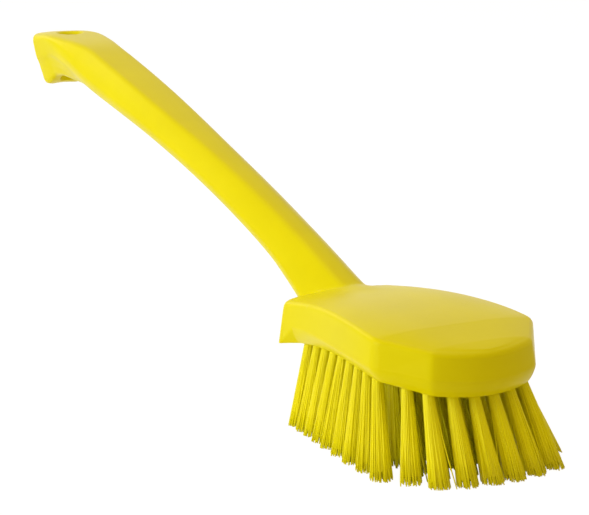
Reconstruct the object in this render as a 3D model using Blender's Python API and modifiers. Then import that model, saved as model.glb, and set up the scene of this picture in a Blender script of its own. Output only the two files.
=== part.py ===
"""Long-handled washing brush: a one-piece moulded body and its drilled-in bristle tufts.

Metres, +Z up. +X runs from the handle's tip to the nose, and Y is the mirror axis.
The brush stands on its trimmed bristle ends, which lie at Z = 0.
Heights inside the head are measured from the ends of its underside, which arches up between them.
"""

import math
import random

import bmesh
import bpy
from mathutils import Matrix, Vector, geometry

# Overall sizes of the moulding
BODY_LENGTH = 0.4142  # handle tip to nose
HEAD_LENGTH = 0.1187
HEAD_WIDTH = 0.0785  # across the front corners
REAR_WIDTH = 0.061
NOSE_WIDTH = 0.049  # front face, between the cut corners
WALL_HEIGHT = 0.0188
BRISTLE_REACH = 0.0340  # from the foot of the head to the bristle ends

# Head outline
CORNER_CUT = 0.021  # length along X of each cut front corner
NOSE_BOW = 0.0068  # how far the front face swells forward
REAR_CORNER_RADIUS = 0.003
FRONT_CORNER_SOFTENING = 0.0045
SIDE_LEAD_SHARES = (0.45, 0.12)  # first handle of the side's curve: along the side, of its flare
SIDE_TAIL_SHARES = (0.27, 0.03)  # second handle, measured back from the front corner

# Head walls, top and underside
HEAD_ARCH = 0.0055  # rise of the arched underside over its ends
ARCH_PEAK_SHARE = 0.47
NOSE_DROP_SHARE = 0.2  # of the arch, how much lower the nose ends than the rear
WALL_DRAFT = 0.0013  # the side walls lean out this much from top to bottom
END_DRAFT = 0.0026  # the rear and nose walls
TOP_ROUND = 0.0026
TOP_CROWN = 0.0019
CROWN_FADE = 0.030
FOOT_BEVEL = 0.0044  # inward step of the rounded bevel under the walls
FOOT_BEVEL_HEIGHT = 0.0078  # at the rear and the nose
SIDE_BEVEL_HEIGHT = 0.0048
FOOT_PROFILE_SHARES = ((0.0, 1.0), (0.28, 0.42), (0.62, 0.10), (1.0, 0.0))  # height, inward step
LIP_DEPTH = 0.0012  # the rear wall keeps its full foot as a scraping lip
LIP_PEAK = 0.0125  # the flat cut behind the lip meets the bevel's top edge here, as a triangle
LIP_END = 0.0115  # and its foot here
ROOT_SWELL = 0.0022  # blend of the head's top into the handle's ridge
ROOT_SWELL_PLACE = 0.008
ROOT_SWELL_LENGTH = 0.013
ROOT_SWELL_WIDTH = 0.009

# Handle
HANDLE_EMBED = 0.024  # how far the handle runs into the head from the rear face
HANDLE_FOOT = 0.0193  # height at which the handle's ridge starts inside the head
HANDLE_RISE = 0.0846
GRIP_HALF_WIDTH = 0.0139
GRIP_DEPTH = 0.0172
FACET_HALF_WIDTH = 0.0067  # flat top face at mid handle
RIDGE_SOFTENING = 0.0009
FACET_CROWN = 0.0002
FLANK_SHARES = (0.4, 0.75)  # extra points down each flank
UNDERSIDE_STEPS = 5
TIP_BOW = 0.0070  # how far the tip's end face swells backward
TIP_ROUND = 0.0012
TIP_CAP_SHARES = (0.93, 0.5)  # rings of the end face, of its full size
HANDLE_STATIONS = 36
STATION_CROWDING_SHARE = 0.45  # stations lie closer together toward the tip

# Handle shares: place along the handle, then the share of the named size there
RIDGE_HEIGHT_SHARES = (
    (0.0, 0.0), (0.05, 0.070), (0.19, 0.271), (0.358, 0.485), (0.565, 0.719),
    (0.765, 0.923), (0.828, 0.974), (0.906, 0.998), (0.953, 1.0), (1.0, 0.982),
)
FACET_SHARES = (
    (0.0, 0.76), (0.19, 0.73), (0.27, 0.76), (0.43, 0.96), (0.565, 1.24),
    (0.66, 1.37), (0.765, 1.37), (0.828, 1.20), (1.0, 1.20),
)
WIDTH_SHARES = (
    (0.0, 1.34), (0.05, 1.26), (0.085, 1.19), (0.12, 1.12), (0.19, 1.02), (0.29, 1.0), (0.43, 1.0),
    (0.565, 1.05), (0.70, 1.11), (0.80, 1.14), (0.92, 1.13), (1.0, 1.10),
)
DEPTH_SHARES = (
    (0.0, 1.15), (0.07, 1.30), (0.12, 1.22), (0.19, 1.08), (0.29, 1.01), (0.43, 1.0),
    (0.565, 1.05), (0.70, 1.17), (0.80, 1.24), (0.86, 1.24), (0.91, 1.23), (0.94, 1.30), (0.965, 1.50),
    (0.985, 1.60), (1.0, 1.60),
)
SHOULDER_SHARES = ((0.0, 0.55), (0.06, 0.54), (0.13, 0.50), (0.30, 0.47), (0.80, 0.48), (1.0, 0.40))
LEAN_DEGREES = (
    (0.0, 21.0), (0.36, 17.0), (0.70, 15.0), (0.79, 11.0), (0.86, 2.0), (0.92, -7.0), (1.0, -18.0),
)
TIP_BLEND_SHARES = ((0.0, 0.0), (0.74, 0.0), (0.80, 0.12), (0.87, 0.62), (0.93, 1.0), (1.0, 1.0))

# Half of the tip's section: a wide flat pad, undercut flanks and a narrower hook (width, depth)
TIP_SECTION_SHARES = (
    (0.0, 0.0), (0.34, 0.0), (0.66, 0.0), (0.82, 0.012), (0.93, 0.04), (0.985, 0.09), (1.0, 0.15),
    (0.975, 0.30), (0.93, 0.45), (0.84, 0.56), (0.75, 0.76), (0.60, 0.97), (0.0, 0.98),
)

# Hanging hole in the handle's tip
HANG_HOLE_RADIUS = 0.0055
HANG_HOLE_SETBACK = 0.022  # hole centre to the tip
HANG_RIM_RADIUS = 0.0072
HANG_RIM_DEPTH = 0.0014

# Tufts
TUFT_HOLE_RADIUS = 0.0027
TUFT_HOLE_DEPTH = 0.0110
TUFT_CLEARANCE = 0.0003
TUFT_PROUD = 0.0007  # the bundle stays whole this far out of its hole
ANCHOR_REACH = 0.0002  # the anchor plate's ends stand out of the folded bundle
ANCHOR_HEIGHT = 0.0020
ANCHOR_SETBACK = 0.0016
FOLD_SHARE = 0.55  # the folded end narrows to this share of the bundle
INNER_CELL_SHARE = 0.52
TUFT_FLARE_SHARE = 2.2
STRAND_TAPER_SHARE = 0.90
STRAND_WANDER = 0.0003
TUFT_WALL = 0.0012  # plastic left between the outer holes and the edge of the underside
FIRST_ROW = 0.0140  # rear face to the rearmost row
LAST_ROW_SETBACK = 0.0367  # nose to the last of the evenly spaced rows
TUFTS_PER_ROW = (5, 5, 5, 5, 5, 5, 5, 6, 6)
FRONT_ROW_SETBACK = 0.0222
FRONT_TUFTS = 6
NOSE_CORNER_SHARE = 0.26  # of the edge margin, how far the nose row stays inside its corners
NOSE_TUFTS = 6
LEAN_START = 0.026  # the even rows begin to lean forward this far from the rear face
LAST_ROW_LEAN_SHARE = 0.51  # forward run of the bristles for each unit of drop
FRONT_LEAN_SHARE = 0.42
NOSE_LEAN_SHARE = 0.48
FIRST_ROW_SPLAY_SHARE = 0.15  # outward run of a row's end tufts
LAST_ROW_SPLAY_SHARE = 0.26
FRONT_SPLAY_SHARE = 0.20
NOSE_SPLAY_SHARE = 0.14

CUT_OVERRUN = 0.004
SHARP_EDGE_DEGREES = 30.0
SEED = 7

ROUND_STEPS = 4
CORNER_STEPS = 3
SIDE_STEPS = 12
NOSE_STEPS = 6
CROSS_STEPS = 12
HOLE_SIDES = 10
HANG_HOLE_STEPS = 24
LIP_STEPS = 4
CURVE_SAMPLES = 120


# Shape functions of the head

def smooth_table(table, place):
    """A smooth value at a place, read from a table of (place, value) pairs."""
    last = len(table) - 1
    index = 0
    while index < last - 1 and place > table[index + 1][0]:
        index += 1

    def slope(at):
        low = table[max(at - 1, 0)]
        high = table[min(at + 1, last)]
        return (high[1] - low[1]) / (high[0] - low[0])

    start, end = table[index], table[index + 1]
    width = end[0] - start[0]
    t = min(max((place - start[0]) / width, 0.0), 1.0)
    ease_end = t * t * (3.0 - 2.0 * t)
    ease_out = t * (1.0 - t) ** 2
    ease_in = t * t * (1.0 - t)
    curve = start[1] * (1.0 - ease_end) + end[1] * ease_end
    return curve + width * (slope(index) * ease_out - slope(index + 1) * ease_in)


def ramp(value, start, width):
    return min(max((value - start) / width, 0.0), 1.0)


def arch(x):
    """Rise of the head's underside at x, measured from the rear face."""
    share = x / HEAD_LENGTH
    if share < ARCH_PEAK_SHARE:
        return HEAD_ARCH * (1.0 - (1.0 - share / ARCH_PEAK_SHARE) ** 2)
    fall = (share - ARCH_PEAK_SHARE) / (1.0 - ARCH_PEAK_SHARE)
    return HEAD_ARCH * (1.0 - (1.0 + NOSE_DROP_SHARE) * fall ** 2)


def softened(before, corner, after, reach, steps):
    """Points that round a corner of an outline."""
    start = corner + (before - corner).normalized() * reach
    end = corner + (after - corner).normalized() * reach
    points = []
    for step in range(steps + 1):
        t = step / steps
        points.append(start * (1 - t) ** 2 + corner * 2 * t * (1 - t) + end * t * t)
    return points


def value_on(curve, x):
    """The y at x on a run of points whose x grows."""
    for first, second in zip(curve, curve[1:]):
        if first.x <= x <= second.x:
            share = (x - first.x) / max(second.x - first.x, 1e-9)
            return first.y + (second.y - first.y) * share
    return curve[-1].y


def half_outline():
    """The head's top outline on the +Y side, from the rear face's centre to the nose's centre."""
    rear = REAR_WIDTH / 2
    front = HEAD_WIDTH / 2
    nose = NOSE_WIDTH / 2
    nose_start = HEAD_LENGTH - NOSE_BOW
    side_end = nose_start - CORNER_CUT
    radius = REAR_CORNER_RADIUS

    straight = rear - radius
    points = [Vector((0.0, straight * step * 2 / CROSS_STEPS)) for step in range(CROSS_STEPS // 2)]
    for step in range(CORNER_STEPS + 1):
        angle = math.radians(90.0) * step / CORNER_STEPS
        points.append(Vector((radius - radius * math.cos(angle), straight + radius * math.sin(angle))))

    flare = front - rear
    start = Vector((radius, rear))
    end = Vector((side_end, front))
    lead = start + Vector((SIDE_LEAD_SHARES[0] * side_end, SIDE_LEAD_SHARES[1] * flare))
    tail = end - Vector((SIDE_TAIL_SHARES[0] * side_end, SIDE_TAIL_SHARES[1] * flare))
    curve = geometry.interpolate_bezier(start, lead, tail, end, CURVE_SAMPLES)
    columns = [radius + (LIP_PEAK - radius) * (step + 1) / LIP_STEPS for step in range(LIP_STEPS)]
    columns += [LIP_PEAK + (side_end - LIP_PEAK) * (step + 1) / SIDE_STEPS for step in range(SIDE_STEPS - 1)]
    side = [Vector((x, value_on(curve, x))) for x in columns]
    points += side

    nose_corner = Vector((nose_start, nose))
    bow = []
    for step in range(1, NOSE_STEPS + 1):
        share = 1.0 - step / NOSE_STEPS
        bow.append(Vector((nose_start + NOSE_BOW * (1.0 - share ** 2), nose * share)))
    points += softened(side[-1], end, nose_corner, FRONT_CORNER_SOFTENING, CORNER_STEPS)
    points += softened(end, nose_corner, bow[0], FRONT_CORNER_SOFTENING / 2, CORNER_STEPS)
    points += bow
    return points


def whole_outline():
    half = half_outline()
    mirrored = [Vector((point.x, -point.y)) for point in reversed(half[1:-1])]
    return half + mirrored


def outward_normals(outline):
    """The outline's outward directions, lengthened at corners so that offset walls stay parallel."""
    normals = []
    count = len(outline)
    for index, point in enumerate(outline):
        before = (point - outline[index - 1]).normalized()
        after = (outline[(index + 1) % count] - point).normalized()
        mean = Vector((-before.y - after.y, before.x + after.x)).normalized()
        normals.append(mean / max(mean.dot(Vector((-before.y, before.x))), 0.5))
    return normals


def inset_half(margin):
    """The outline's +Y half, moved inward by a margin, from the side to the nose."""
    outline = whole_outline()
    normals = outward_normals(outline)
    moved = [point - normal * margin for point, normal in zip(outline, normals)]
    half = [point for point in moved[:len(half_outline())] if point.y > 0]
    widest = max(half, key=lambda point: point.y)
    return [point for point in half if point.x > FIRST_ROW / 2 and (point.y > 0 or point.x > widest.x)]


def crown(x, y, width):
    """How far the top stands over the walls: a flat dome that swells where the handle grows out."""
    across = min(abs(y) / width, 1.0) if width else 1.0
    fade = 1.0 - ramp(x, HEAD_LENGTH - CROWN_FADE, CROWN_FADE) ** 2
    along = (x - ROOT_SWELL_PLACE) / ROOT_SWELL_LENGTH
    swell = math.exp(-(along ** 2) - (y / ROOT_SWELL_WIDTH) ** 2) * ramp(x, 0.0, ROOT_SWELL_PLACE)
    return (TOP_CROWN * fade + ROOT_SWELL * swell) * (1.0 - across ** 4)


def bevel_height(x):
    """The bevel is lower along the sides than at the rear and the nose."""
    share = x / HEAD_LENGTH
    dip = math.sin(math.pi * share) ** 2
    return FOOT_BEVEL_HEIGHT - (FOOT_BEVEL_HEIGHT - SIDE_BEVEL_HEIGHT) * dip


def ring(outline, normals, inset, height):
    """One level of the head's wall: inset and height are functions of the outline point."""
    points = []
    for point, normal in zip(outline, normals):
        place = point - normal * inset(point)
        points.append(Vector((place.x, place.y, height(point, place) + arch(place.x))))
    return points


def head_levels():
    """The rings of the head from its foot to the rounded top edge."""
    outline = whole_outline()
    normals = outward_normals(outline)

    def bevel(point, height_share, step_share):
        """Inward step of the bevel, which a flat triangular cut starts behind the rear lip."""
        run = point.x - LIP_DEPTH - (LIP_PEAK - LIP_DEPTH) * height_share
        cut = FOOT_BEVEL * max(run, 0.0) / (LIP_END - LIP_DEPTH)
        return min(cut, FOOT_BEVEL * step_share)

    def draft(point, height):
        rear_share = 1.0 - ramp(point.x, 0.0, REAR_CORNER_RADIUS)
        nose_share = ramp(point.x, HEAD_LENGTH - NOSE_BOW - CORNER_CUT, CORNER_CUT)
        full = WALL_DRAFT + (END_DRAFT - WALL_DRAFT) * max(rear_share, nose_share)
        return full * (1.0 - height / (WALL_HEIGHT - TOP_ROUND))

    def rear_rise(point):
        """The rear edge follows the crown of the top."""
        return crown(0.0, point.y, REAR_WIDTH / 2) if point.x < REAR_CORNER_RADIUS else 0.0

    levels = []
    for height_share, step_share in FOOT_PROFILE_SHARES:
        levels.append(ring(
            outline, normals,
            lambda point, step=step_share, height=height_share: (
                bevel(point, height, step) - draft(point, bevel_height(point.x) * height)
            ),
            lambda point, place, height=height_share: bevel_height(point.x) * height,
        ))
    for step in range(ROUND_STEPS + 1):
        angle = math.radians(90.0) * step / ROUND_STEPS
        inset = TOP_ROUND * (1.0 - math.cos(angle))
        drop = TOP_ROUND * (1.0 - math.sin(angle))
        levels.append(ring(
            outline, normals,
            lambda point, inset=inset: inset,
            lambda point, place, drop=drop: WALL_HEIGHT - drop + rear_rise(point),
        ))
    return levels


def add_cap(mesh, loop, half_count, lift, flip):
    """Closes a ring with strips that run across the head, from the rear edge to the nose."""
    count = len(loop)
    rear_steps = CROSS_STEPS // 2
    rear_edge = [loop[(index - rear_steps) % count] for index in range(CROSS_STEPS + 1)]
    previous = rear_edge
    for index in range(rear_steps + 1, half_count):
        right = loop[index]
        if index == half_count - 1:
            current = [right] * (CROSS_STEPS + 1)
        else:
            left = loop[count - index]
            current = [left]
            for step in range(1, CROSS_STEPS):
                place = left.co.lerp(right.co, step / CROSS_STEPS)
                place.z += lift(place, abs(right.co.y))
                current.append(mesh.verts.new(place))
            current.append(right)
        for step in range(CROSS_STEPS):
            face = [previous[step], previous[step + 1], current[step + 1], current[step]]
            face = list(dict.fromkeys(face))
            mesh.faces.new(face if flip else face[::-1])
        previous = current


def build_head(collection):
    """The head's block: drafted walls, bevelled foot, rear lip and crowned, arched top."""
    mesh = bmesh.new()
    half_count = len(half_outline())
    loops = []
    for level in head_levels():
        loops.append([mesh.verts.new(point) for point in level])
    for lower, upper in zip(loops, loops[1:]):
        count = len(lower)
        for index in range(count):
            after = (index + 1) % count
            mesh.faces.new((lower[after], lower[index], upper[index], upper[after]))
    add_cap(mesh, loops[0], half_count, lambda place, width: 0.0, False)
    add_cap(mesh, loops[-1], half_count, lambda place, width: crown(place.x, place.y, width), True)
    bmesh.ops.recalc_face_normals(mesh, faces=mesh.faces)
    bmesh.ops.triangulate(mesh, faces=mesh.faces)
    return mesh_object("brush_body", mesh, collection)


# Handle

def grip_section(place):
    """Half a section of the grip: a flat top face, steep flanks and a rounded underside."""
    facet = FACET_HALF_WIDTH * smooth_table(FACET_SHARES, place)
    width = GRIP_HALF_WIDTH * smooth_table(WIDTH_SHARES, place)
    depth = GRIP_DEPTH * smooth_table(DEPTH_SHARES, place)
    shoulder = depth * smooth_table(SHOULDER_SHARES, place)
    flank = Vector((width - facet, -shoulder))
    step = flank.normalized() * RIDGE_SOFTENING
    half = [
        Vector((0.0, FACET_CROWN)),
        Vector((facet / 2, FACET_CROWN * 3 / 4)),
        Vector((facet - RIDGE_SOFTENING, 0.0)),
        Vector((facet - RIDGE_SOFTENING / 4 + step.x / 4, step.y / 4)),
        Vector((facet, 0.0)) + step,
    ] + [Vector((facet, 0.0)) + flank * share for share in FLANK_SHARES]
    for quarter in range(UNDERSIDE_STEPS + 1):
        angle = math.radians(90.0) * quarter / UNDERSIDE_STEPS
        half.append(Vector((width * math.cos(angle), -shoulder - (depth - shoulder) * math.sin(angle))))
    return half


def handle_section(place):
    """One whole section: the grip's, turning into the tip's where the hook begins."""
    width = GRIP_HALF_WIDTH * smooth_table(WIDTH_SHARES, place)
    depth = GRIP_DEPTH * smooth_table(DEPTH_SHARES, place)
    blend = min(max(smooth_table(TIP_BLEND_SHARES, place), 0.0), 1.0)
    half = []
    for point, (across, down) in zip(grip_section(place), TIP_SECTION_SHARES):
        half.append(point.lerp(Vector((width * across, -depth * down)), blend))
    return half + [Vector((-point.x, point.y)) for point in reversed(half[1:-1])]


def handle_ring(place, size_share):
    """The handle's section where it stands, bowed toward the tip, at a share of its full size."""
    run = BODY_LENGTH - HEAD_LENGTH + HANDLE_EMBED - TIP_ROUND
    lean = math.radians(smooth_table(LEAN_DEGREES, place))
    up = Vector((math.sin(lean), 0.0, math.cos(lean)))
    ridge = Vector((
        HANDLE_EMBED - run * place,
        0.0,
        HANDLE_FOOT + HANDLE_RISE * smooth_table(RIDGE_HEIGHT_SHARES, place),
    ))
    bow = TIP_BOW * ramp(place, TIP_BLEND_SHARES[1][0], 1.0 - TIP_BLEND_SHARES[1][0]) ** 2
    section = handle_section(place)
    width = max(point.x for point in section)
    middle = min(point.y for point in section) / 2
    points = []
    for point in section:
        across = point.x * size_share
        height = middle + (point.y - middle) * size_share
        points.append(ridge + Vector((bow * (across / width) ** 2, across, 0.0)) + up * height)
    return points


def build_handle(collection):
    """The handle as a loft along its curved ridge, from inside the head to the hooked tip."""
    mesh = bmesh.new()
    loops = []
    for station in range(HANDLE_STATIONS + 1):
        share = station / HANDLE_STATIONS
        loops.append(handle_ring(share * (1.0 + STATION_CROWDING_SHARE * (1.0 - share)), 1.0))
    back = (loops[-1][0] - loops[-2][0]).normalized() * TIP_ROUND
    for size_share in TIP_CAP_SHARES:
        loops.append([point + back for point in handle_ring(1.0, size_share)])
    loops = [[mesh.verts.new(point) for point in loop] for loop in loops]
    for lower, upper in zip(loops, loops[1:]):
        count = len(lower)
        for index in range(count):
            after = (index + 1) % count
            mesh.faces.new((lower[index], lower[after], upper[after], upper[index]))
    mesh.faces.new(loops[0][::-1])
    centre = mesh.verts.new(handle_ring(1.0, 0.0)[0] + back)
    end = loops[-1]
    for index, point in enumerate(end):
        mesh.faces.new((point, end[(index + 1) % len(end)], centre))
    bmesh.ops.recalc_face_normals(mesh, faces=mesh.faces)
    bmesh.ops.triangulate(mesh, faces=mesh.faces)
    return mesh_object("handle_form", mesh, collection)


# Cutters

def build_hang_hole(collection):
    """The hanging hole's cutter: a straight bore with a softened rim on top, as a turned profile."""
    hole_x = HEAD_LENGTH - BODY_LENGTH + HANG_HOLE_SETBACK
    run = BODY_LENGTH - HEAD_LENGTH + HANDLE_EMBED - TIP_ROUND
    place = (HANDLE_EMBED - hole_x) / run
    top = HANDLE_FOOT + HANDLE_RISE * smooth_table(RIDGE_HEIGHT_SHARES, place)
    bottom = top - GRIP_DEPTH * smooth_table(DEPTH_SHARES, place)
    profile = (
        (0.0, top + CUT_OVERRUN),
        (HANG_RIM_RADIUS, top + CUT_OVERRUN),
        (HANG_RIM_RADIUS, top),
        (HANG_HOLE_RADIUS, top - HANG_RIM_DEPTH),
        (HANG_HOLE_RADIUS, bottom - CUT_OVERRUN),
        (0.0, bottom - CUT_OVERRUN),
    )
    mesh = bmesh.new()
    points = [mesh.verts.new((radius, 0.0, height)) for radius, height in profile]
    for first, second in zip(points, points[1:]):
        mesh.edges.new((first, second))
    cutter = mesh_object("hang_hole_cutter", mesh, collection)
    cutter.location = (hole_x, 0.0, 0.0)
    cutter.rotation_euler.z = math.radians(180.0) / HANG_HOLE_STEPS
    screw = cutter.modifiers.new("turned", "SCREW")
    screw.steps = HANG_HOLE_STEPS
    screw.render_steps = HANG_HOLE_STEPS
    screw.use_merge_vertices = True
    screw.merge_threshold = 0.00001
    screw.use_normal_calculate = True
    return cutter


def build_tuft_holes(collection, tufts):
    """One blind round hole for each tuft, along the tuft's own slant."""
    mesh = bmesh.new()
    for tuft in tufts:
        length = TUFT_HOLE_DEPTH + CUT_OVERRUN
        centre = tuft["mouth"] - tuft["down"] * (TUFT_HOLE_DEPTH - CUT_OVERRUN) / 2
        side_turn = Matrix.Rotation(math.radians(180.0) / HOLE_SIDES, 4, "Z")
        matrix = Matrix.Translation(centre) @ tuft["turn"].to_4x4() @ side_turn
        bmesh.ops.create_cone(
            mesh, cap_ends=True, segments=HOLE_SIDES, radius1=TUFT_HOLE_RADIUS,
            radius2=TUFT_HOLE_RADIUS, depth=length, matrix=matrix,
        )
    return mesh_object("tuft_hole_cutter", mesh, collection)


# Tufts

def tuft_place(name, x, y, forward, outward):
    """A tuft's place on the underside and its slant, as runs for each unit of drop."""
    down = Vector((forward, outward, -1.0)).normalized()
    turn = down.to_track_quat("Z", "Y").to_matrix()
    return {"name": name, "mouth": Vector((x, y, arch(x))), "down": down, "turn": turn}


def tuft_layout():
    """Straight rows across the underside, ever further slanted, and one row along the bowed nose."""
    margin = FOOT_BEVEL - WALL_DRAFT + TUFT_HOLE_RADIUS + TUFT_WALL
    edge = inset_half(margin)
    spacing = (HEAD_LENGTH - LAST_ROW_SETBACK - FIRST_ROW) / (len(TUFTS_PER_ROW) - 1)
    rows = []
    for row, count in enumerate(TUFTS_PER_ROW):
        x = FIRST_ROW + spacing * row
        forward = LAST_ROW_LEAN_SHARE * ramp(x, LEAN_START, HEAD_LENGTH - LAST_ROW_SETBACK - LEAN_START) ** 2
        share = row / (len(TUFTS_PER_ROW) - 1)
        splay = FIRST_ROW_SPLAY_SHARE * (1.0 - share) + LAST_ROW_SPLAY_SHARE * share
        rows.append((x, count, forward, splay))
    rows.append((HEAD_LENGTH - FRONT_ROW_SETBACK, FRONT_TUFTS, FRONT_LEAN_SHARE, FRONT_SPLAY_SHARE))
    tufts = []
    for row, (x, count, forward, splay) in enumerate(rows):
        reach = value_on(edge, x)
        for column in range(count):
            share = 2 * column / (count - 1) - 1
            name = f"tuft_row{row + 1}_{column + 1}"
            tufts.append(tuft_place(name, x, reach * share, forward, splay * share))
    corner = NOSE_WIDTH / 2 - margin * NOSE_CORNER_SHARE
    for column in range(NOSE_TUFTS):
        share = 2 * column / (NOSE_TUFTS - 1) - 1
        y = corner * share
        x = HEAD_LENGTH - margin - NOSE_BOW * (y * 2 / NOSE_WIDTH) ** 2
        name = f"tuft_nose_{column + 1}"
        tufts.append(tuft_place(name, x, y, NOSE_LEAN_SHARE, NOSE_SPLAY_SHARE * share))
    return tufts


def hexagon(radius):
    return [
        Vector((radius * math.cos(math.radians(60 * k)), radius * math.sin(math.radians(60 * k))))
        for k in range(6)
    ]


def build_tuft(tuft, collection, rng):
    """One bundle: a folded root held by its anchor plate, opening into eight slanting strands."""
    mesh = bmesh.new()
    radius = TUFT_HOLE_RADIUS - TUFT_CLEARANCE - ANCHOR_REACH
    outer = hexagon(radius)
    inner = hexagon(radius * INNER_CELL_SHARE)
    turn = tuft["turn"]
    mouth = tuft["mouth"]
    down = tuft["down"]

    def level(points, depth, share=1.0, narrow=1.0):
        """Bundle corners at a depth into the hole; narrow squeezes them across the anchor."""
        placed = []
        for point in points:
            flat = Vector((point.x * share, point.y * share * narrow, 0.0))
            placed.append(mesh.verts.new(mouth - down * depth + turn @ flat))
        return placed

    root_depth = TUFT_HOLE_DEPTH - TUFT_CLEARANCE
    anchor_top = root_depth - ANCHOR_SETBACK
    rings = [
        level(outer, -TUFT_PROUD),
        level(outer, anchor_top - ANCHOR_HEIGHT),
        level(outer, anchor_top),
        level(outer, root_depth, 1.0, FOLD_SHARE),
    ]
    walls = []
    for lower, upper in zip(rings, rings[1:]):
        for index in range(6):
            after = (index + 1) % 6
            walls.append(mesh.faces.new((lower[after], lower[index], upper[index], upper[after])))
    mesh.faces.new(rings[-1])

    for index in (6, 9):
        anchor_end = walls[index]
        normal = sum((vertex.co for vertex in anchor_end.verts), Vector()) / 4
        axis_point = mouth - down * (mouth - normal).dot(down)
        outward = (normal - axis_point).normalized()
        moved = bmesh.ops.extrude_discrete_faces(mesh, faces=[anchor_end])["faces"][0]
        bmesh.ops.translate(mesh, verts=moved.verts, vec=outward * ANCHOR_REACH)

    base = rings[0]
    core = level(inner, -TUFT_PROUD)
    cells = [(base[k], base[(k + 1) % 6], core[(k + 1) % 6], core[k]) for k in range(6)]
    cells += [(core[0], core[1], core[2], core[3]), (core[3], core[4], core[5], core[0])]
    flats = list(zip(outer, outer[1:] + outer[:1], inner[1:] + inner[:1], inner))
    flats += [tuple(inner[:4]), (inner[3], inner[4], inner[5], inner[0])]
    drop = -(mouth.z + BRISTLE_REACH) / down.z
    landing = mouth + down * drop
    for cell, flat in zip(cells, flats):
        middle = sum(flat, Vector((0.0, 0.0))) / 4
        wander = Vector((rng.uniform(-1, 1), rng.uniform(-1, 1))) * STRAND_WANDER
        ends = []
        for corner in flat:
            offset = middle * TUFT_FLARE_SHARE + (corner - middle) * STRAND_TAPER_SHARE + wander
            spread = turn @ Vector((offset.x, offset.y, 0.0))
            slide = -(spread.z + landing.z + BRISTLE_REACH) / down.z
            ends.append(mesh.verts.new(landing + spread + down * slide))
        for index in range(4):
            after = (index + 1) % 4
            mesh.faces.new((cell[index], cell[after], ends[after], ends[index]))
        mesh.faces.new(ends)
    bmesh.ops.recalc_face_normals(mesh, faces=mesh.faces)
    return mesh_object(tuft["name"], mesh, collection)


# Objects, materials and assembly

def mesh_object(name, mesh, collection):
    data = bpy.data.meshes.new(name)
    mesh.to_mesh(data)
    mesh.free()
    made = bpy.data.objects.new(name, data)
    collection.objects.link(made)
    return made


def plastic(name, color, roughness):
    material = bpy.data.materials.new(name)
    material.use_nodes = True
    shader = material.node_tree.nodes["Principled BSDF"]
    shader.inputs["Base Color"].default_value = color
    shader.inputs["Roughness"].default_value = roughness
    shader.inputs["Metallic"].default_value = 0.0
    material.diffuse_color = color
    return material


def boolean(target, operand, operation, name):
    modifier = target.modifiers.new(name, "BOOLEAN")
    modifier.operation = operation
    modifier.object = operand
    modifier.solver = "EXACT"


def smooth_round_faces(made):
    made.data.shade_smooth()
    made.data.set_sharp_from_angle(angle=math.radians(SHARP_EDGE_DEGREES))


def main():
    for old in list(bpy.data.objects):
        bpy.data.objects.remove(old, do_unlink=True)
    parts = bpy.data.collections.new("washing_brush")
    cutters = bpy.data.collections.new("cutters")
    bpy.context.scene.collection.children.link(parts)
    bpy.context.scene.collection.children.link(cutters)

    moulded = plastic("moulded_plastic_yellow", (0.83, 0.70, 0.01, 1.0), 0.38)
    filament = plastic("filament_yellow", (0.80, 0.68, 0.01, 1.0), 0.45)

    tufts = tuft_layout()
    body = build_head(parts)
    handle = build_handle(cutters)
    helpers = [handle, build_hang_hole(cutters), build_tuft_holes(cutters, tufts)]
    boolean(body, handle, "UNION", "handle")
    boolean(body, helpers[1], "DIFFERENCE", "hanging hole")
    boolean(body, helpers[2], "DIFFERENCE", "tuft holes")
    body.data.materials.append(moulded)
    smooth_round_faces(body)
    for helper in helpers:
        helper.hide_render = True
        helper.display_type = "WIRE"

    rng = random.Random(SEED)
    bundles = [build_tuft(tuft, parts, rng) for tuft in tufts]
    for bundle in bundles:
        bundle.data.materials.append(filament)

    stand = bpy.data.objects.new("bristle_plane", None)
    parts.objects.link(stand)
    foremost = max(vertex.co.x for bundle in bundles for vertex in bundle.data.vertices)
    rearmost = min(vertex.co.x for vertex in handle.data.vertices)
    stand.location = (-(foremost + rearmost) / 2, 0.0, BRISTLE_REACH)
    for piece in [body, *helpers, *bundles]:
        piece.parent = stand


main()
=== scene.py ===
"""Looks of the long-handled washing brush: its moulded body at full smoothness and its filament bundles.

Metres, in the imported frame. The shape functions repeat the driving sizes of the part's source, in its
own axes: x from the head's rear face towards the nose, z from the ends of the head's underside.
The step counts are finer here, and the values marked as finish differ from the source's, so that the
surface lies up to a millimetre from the solid's, as the photograph shows it.
"""

import math
import random

import bmesh
import bpy
from mathutils import Matrix, Vector, geometry


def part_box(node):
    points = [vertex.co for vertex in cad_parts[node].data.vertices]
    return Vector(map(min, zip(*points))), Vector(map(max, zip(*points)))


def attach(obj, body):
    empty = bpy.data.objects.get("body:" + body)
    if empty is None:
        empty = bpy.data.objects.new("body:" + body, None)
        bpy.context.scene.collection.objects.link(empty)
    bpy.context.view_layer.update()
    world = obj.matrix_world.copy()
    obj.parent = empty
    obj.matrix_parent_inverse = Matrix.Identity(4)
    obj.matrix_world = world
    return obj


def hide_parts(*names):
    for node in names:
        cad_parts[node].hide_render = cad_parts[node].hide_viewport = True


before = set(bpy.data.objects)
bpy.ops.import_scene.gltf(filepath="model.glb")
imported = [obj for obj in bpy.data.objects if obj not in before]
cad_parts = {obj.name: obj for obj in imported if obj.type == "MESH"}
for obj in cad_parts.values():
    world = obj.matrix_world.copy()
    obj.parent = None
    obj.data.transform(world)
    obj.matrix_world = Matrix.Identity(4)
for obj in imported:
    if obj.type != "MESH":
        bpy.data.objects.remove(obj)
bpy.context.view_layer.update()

# Overall sizes of the moulding
BODY_LENGTH = 0.4142  # handle tip to nose
HEAD_LENGTH = 0.1187
HEAD_WIDTH = 0.0785  # across the front corners
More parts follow.
